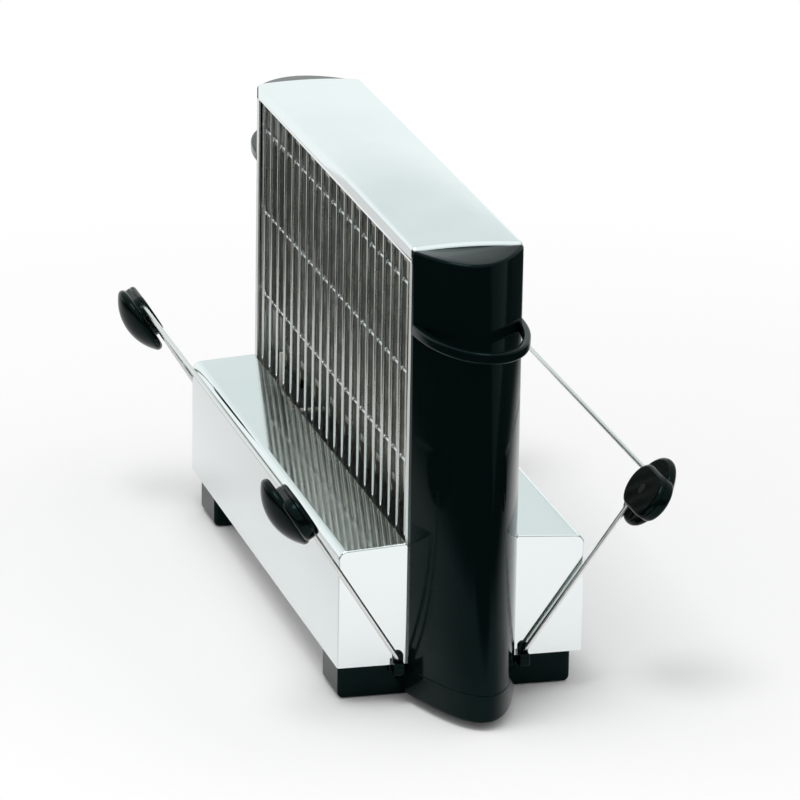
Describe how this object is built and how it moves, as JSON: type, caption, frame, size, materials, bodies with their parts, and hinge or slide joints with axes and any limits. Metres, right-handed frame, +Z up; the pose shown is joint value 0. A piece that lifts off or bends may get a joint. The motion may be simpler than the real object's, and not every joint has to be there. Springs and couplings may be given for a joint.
{
  "type": "toaster",
  "caption": "Upright two-sided toaster: a narrow heater core between black end columns on a low steel base, with swinging wire racks that hold bread against the grilles.",
  "frame": {"origin": "on the table under the middle of the body, at the underside of the rubber pads", "axes": "+Z up, Y along the length with the front end at -Y and the timer end at +Y, X across"},
  "size_m": [0.1865, 0.388, 0.2097],
  "materials": {
    "polished_steel": "mirror-polished stainless sheet, slightly cool",
    "inner_steel": "plain bright sheet",
    "bright_wire": "bright plated wire",
    "black_gloss": "glossy black moulding",
    "grip_gloss": "glossy black moulding",
    "pad_rubber": "soft matt",
    "mica": "pearly mica sheet",
    "heating_alloy": "bright resistance ribbon",
    "case_plastic": "plain heat-proof moulding",
    "lead_cover": "woven glass sleeve",
    "screw_steel": "zinc-plated",
    "black_screw": "blackened"
  },
  "bodies": {
    "housing": {"top_cap": "polished_steel", "left_base_cover": "polished_steel", "right_base_cover": "polished_steel", "base_plate": "inner_steel", "front_column": "black_gloss", "rear_column": "black_gloss", "front_foot": "black_gloss", "rear_foot": "black_gloss", "foot_pads": "pad_rubber", "front_bulkhead": "inner_steel", "rear_bulkhead": "inner_steel", "left_grille": "bright_wire", "right_grille": "bright_wire", "reflector": "inner_steel", "left_heater_board": "mica", "right_heater_board": "mica", "left_heating_ribbon": "heating_alloy", "right_heating_ribbon": "heating_alloy", "timer_body": "case_plastic", "terminal_block": "case_plastic", "cord_bush": "pad_rubber", "wiring": "lead_cover", "column_screws": "screw_steel", "foot_screws": "screw_steel"},
    "left_swing": {"left_rack": "bright_wire", "left_front_grip": "grip_gloss", "left_rear_grip": "grip_gloss", "left_clamps": "grip_gloss", "left_grip_screws": "black_screw"},
    "right_swing": {"right_rack": "bright_wire", "right_front_grip": "grip_gloss", "right_rear_grip": "grip_gloss", "right_clamps": "grip_gloss", "right_grip_screws": "black_screw"},
    "dial": {"timer_shaft": "screw_steel", "timer_knob": "grip_gloss"}
  },
  "joints": [
    {"name": "left_rack_hinge", "type": "hinge", "parent": "housing", "child": "left_swing", "pos_m": [-0.0286, 0, 0.0207], "axis": [0, -1, 0], "range_deg": [-29.7, 27.3]},
    {"name": "right_rack_hinge", "type": "hinge", "parent": "housing", "child": "right_swing", "pos_m": [0.0286, 0, 0.0207], "axis": [0, 1, 0], "range_deg": [-32.5, 24.5]},
    {"name": "timer_turn", "type": "hinge", "parent": "housing", "child": "dial", "pos_m": [0, 0.143, 0.101], "axis": [0, -1, 0], "range_deg": [0, 300]}
  ]
}
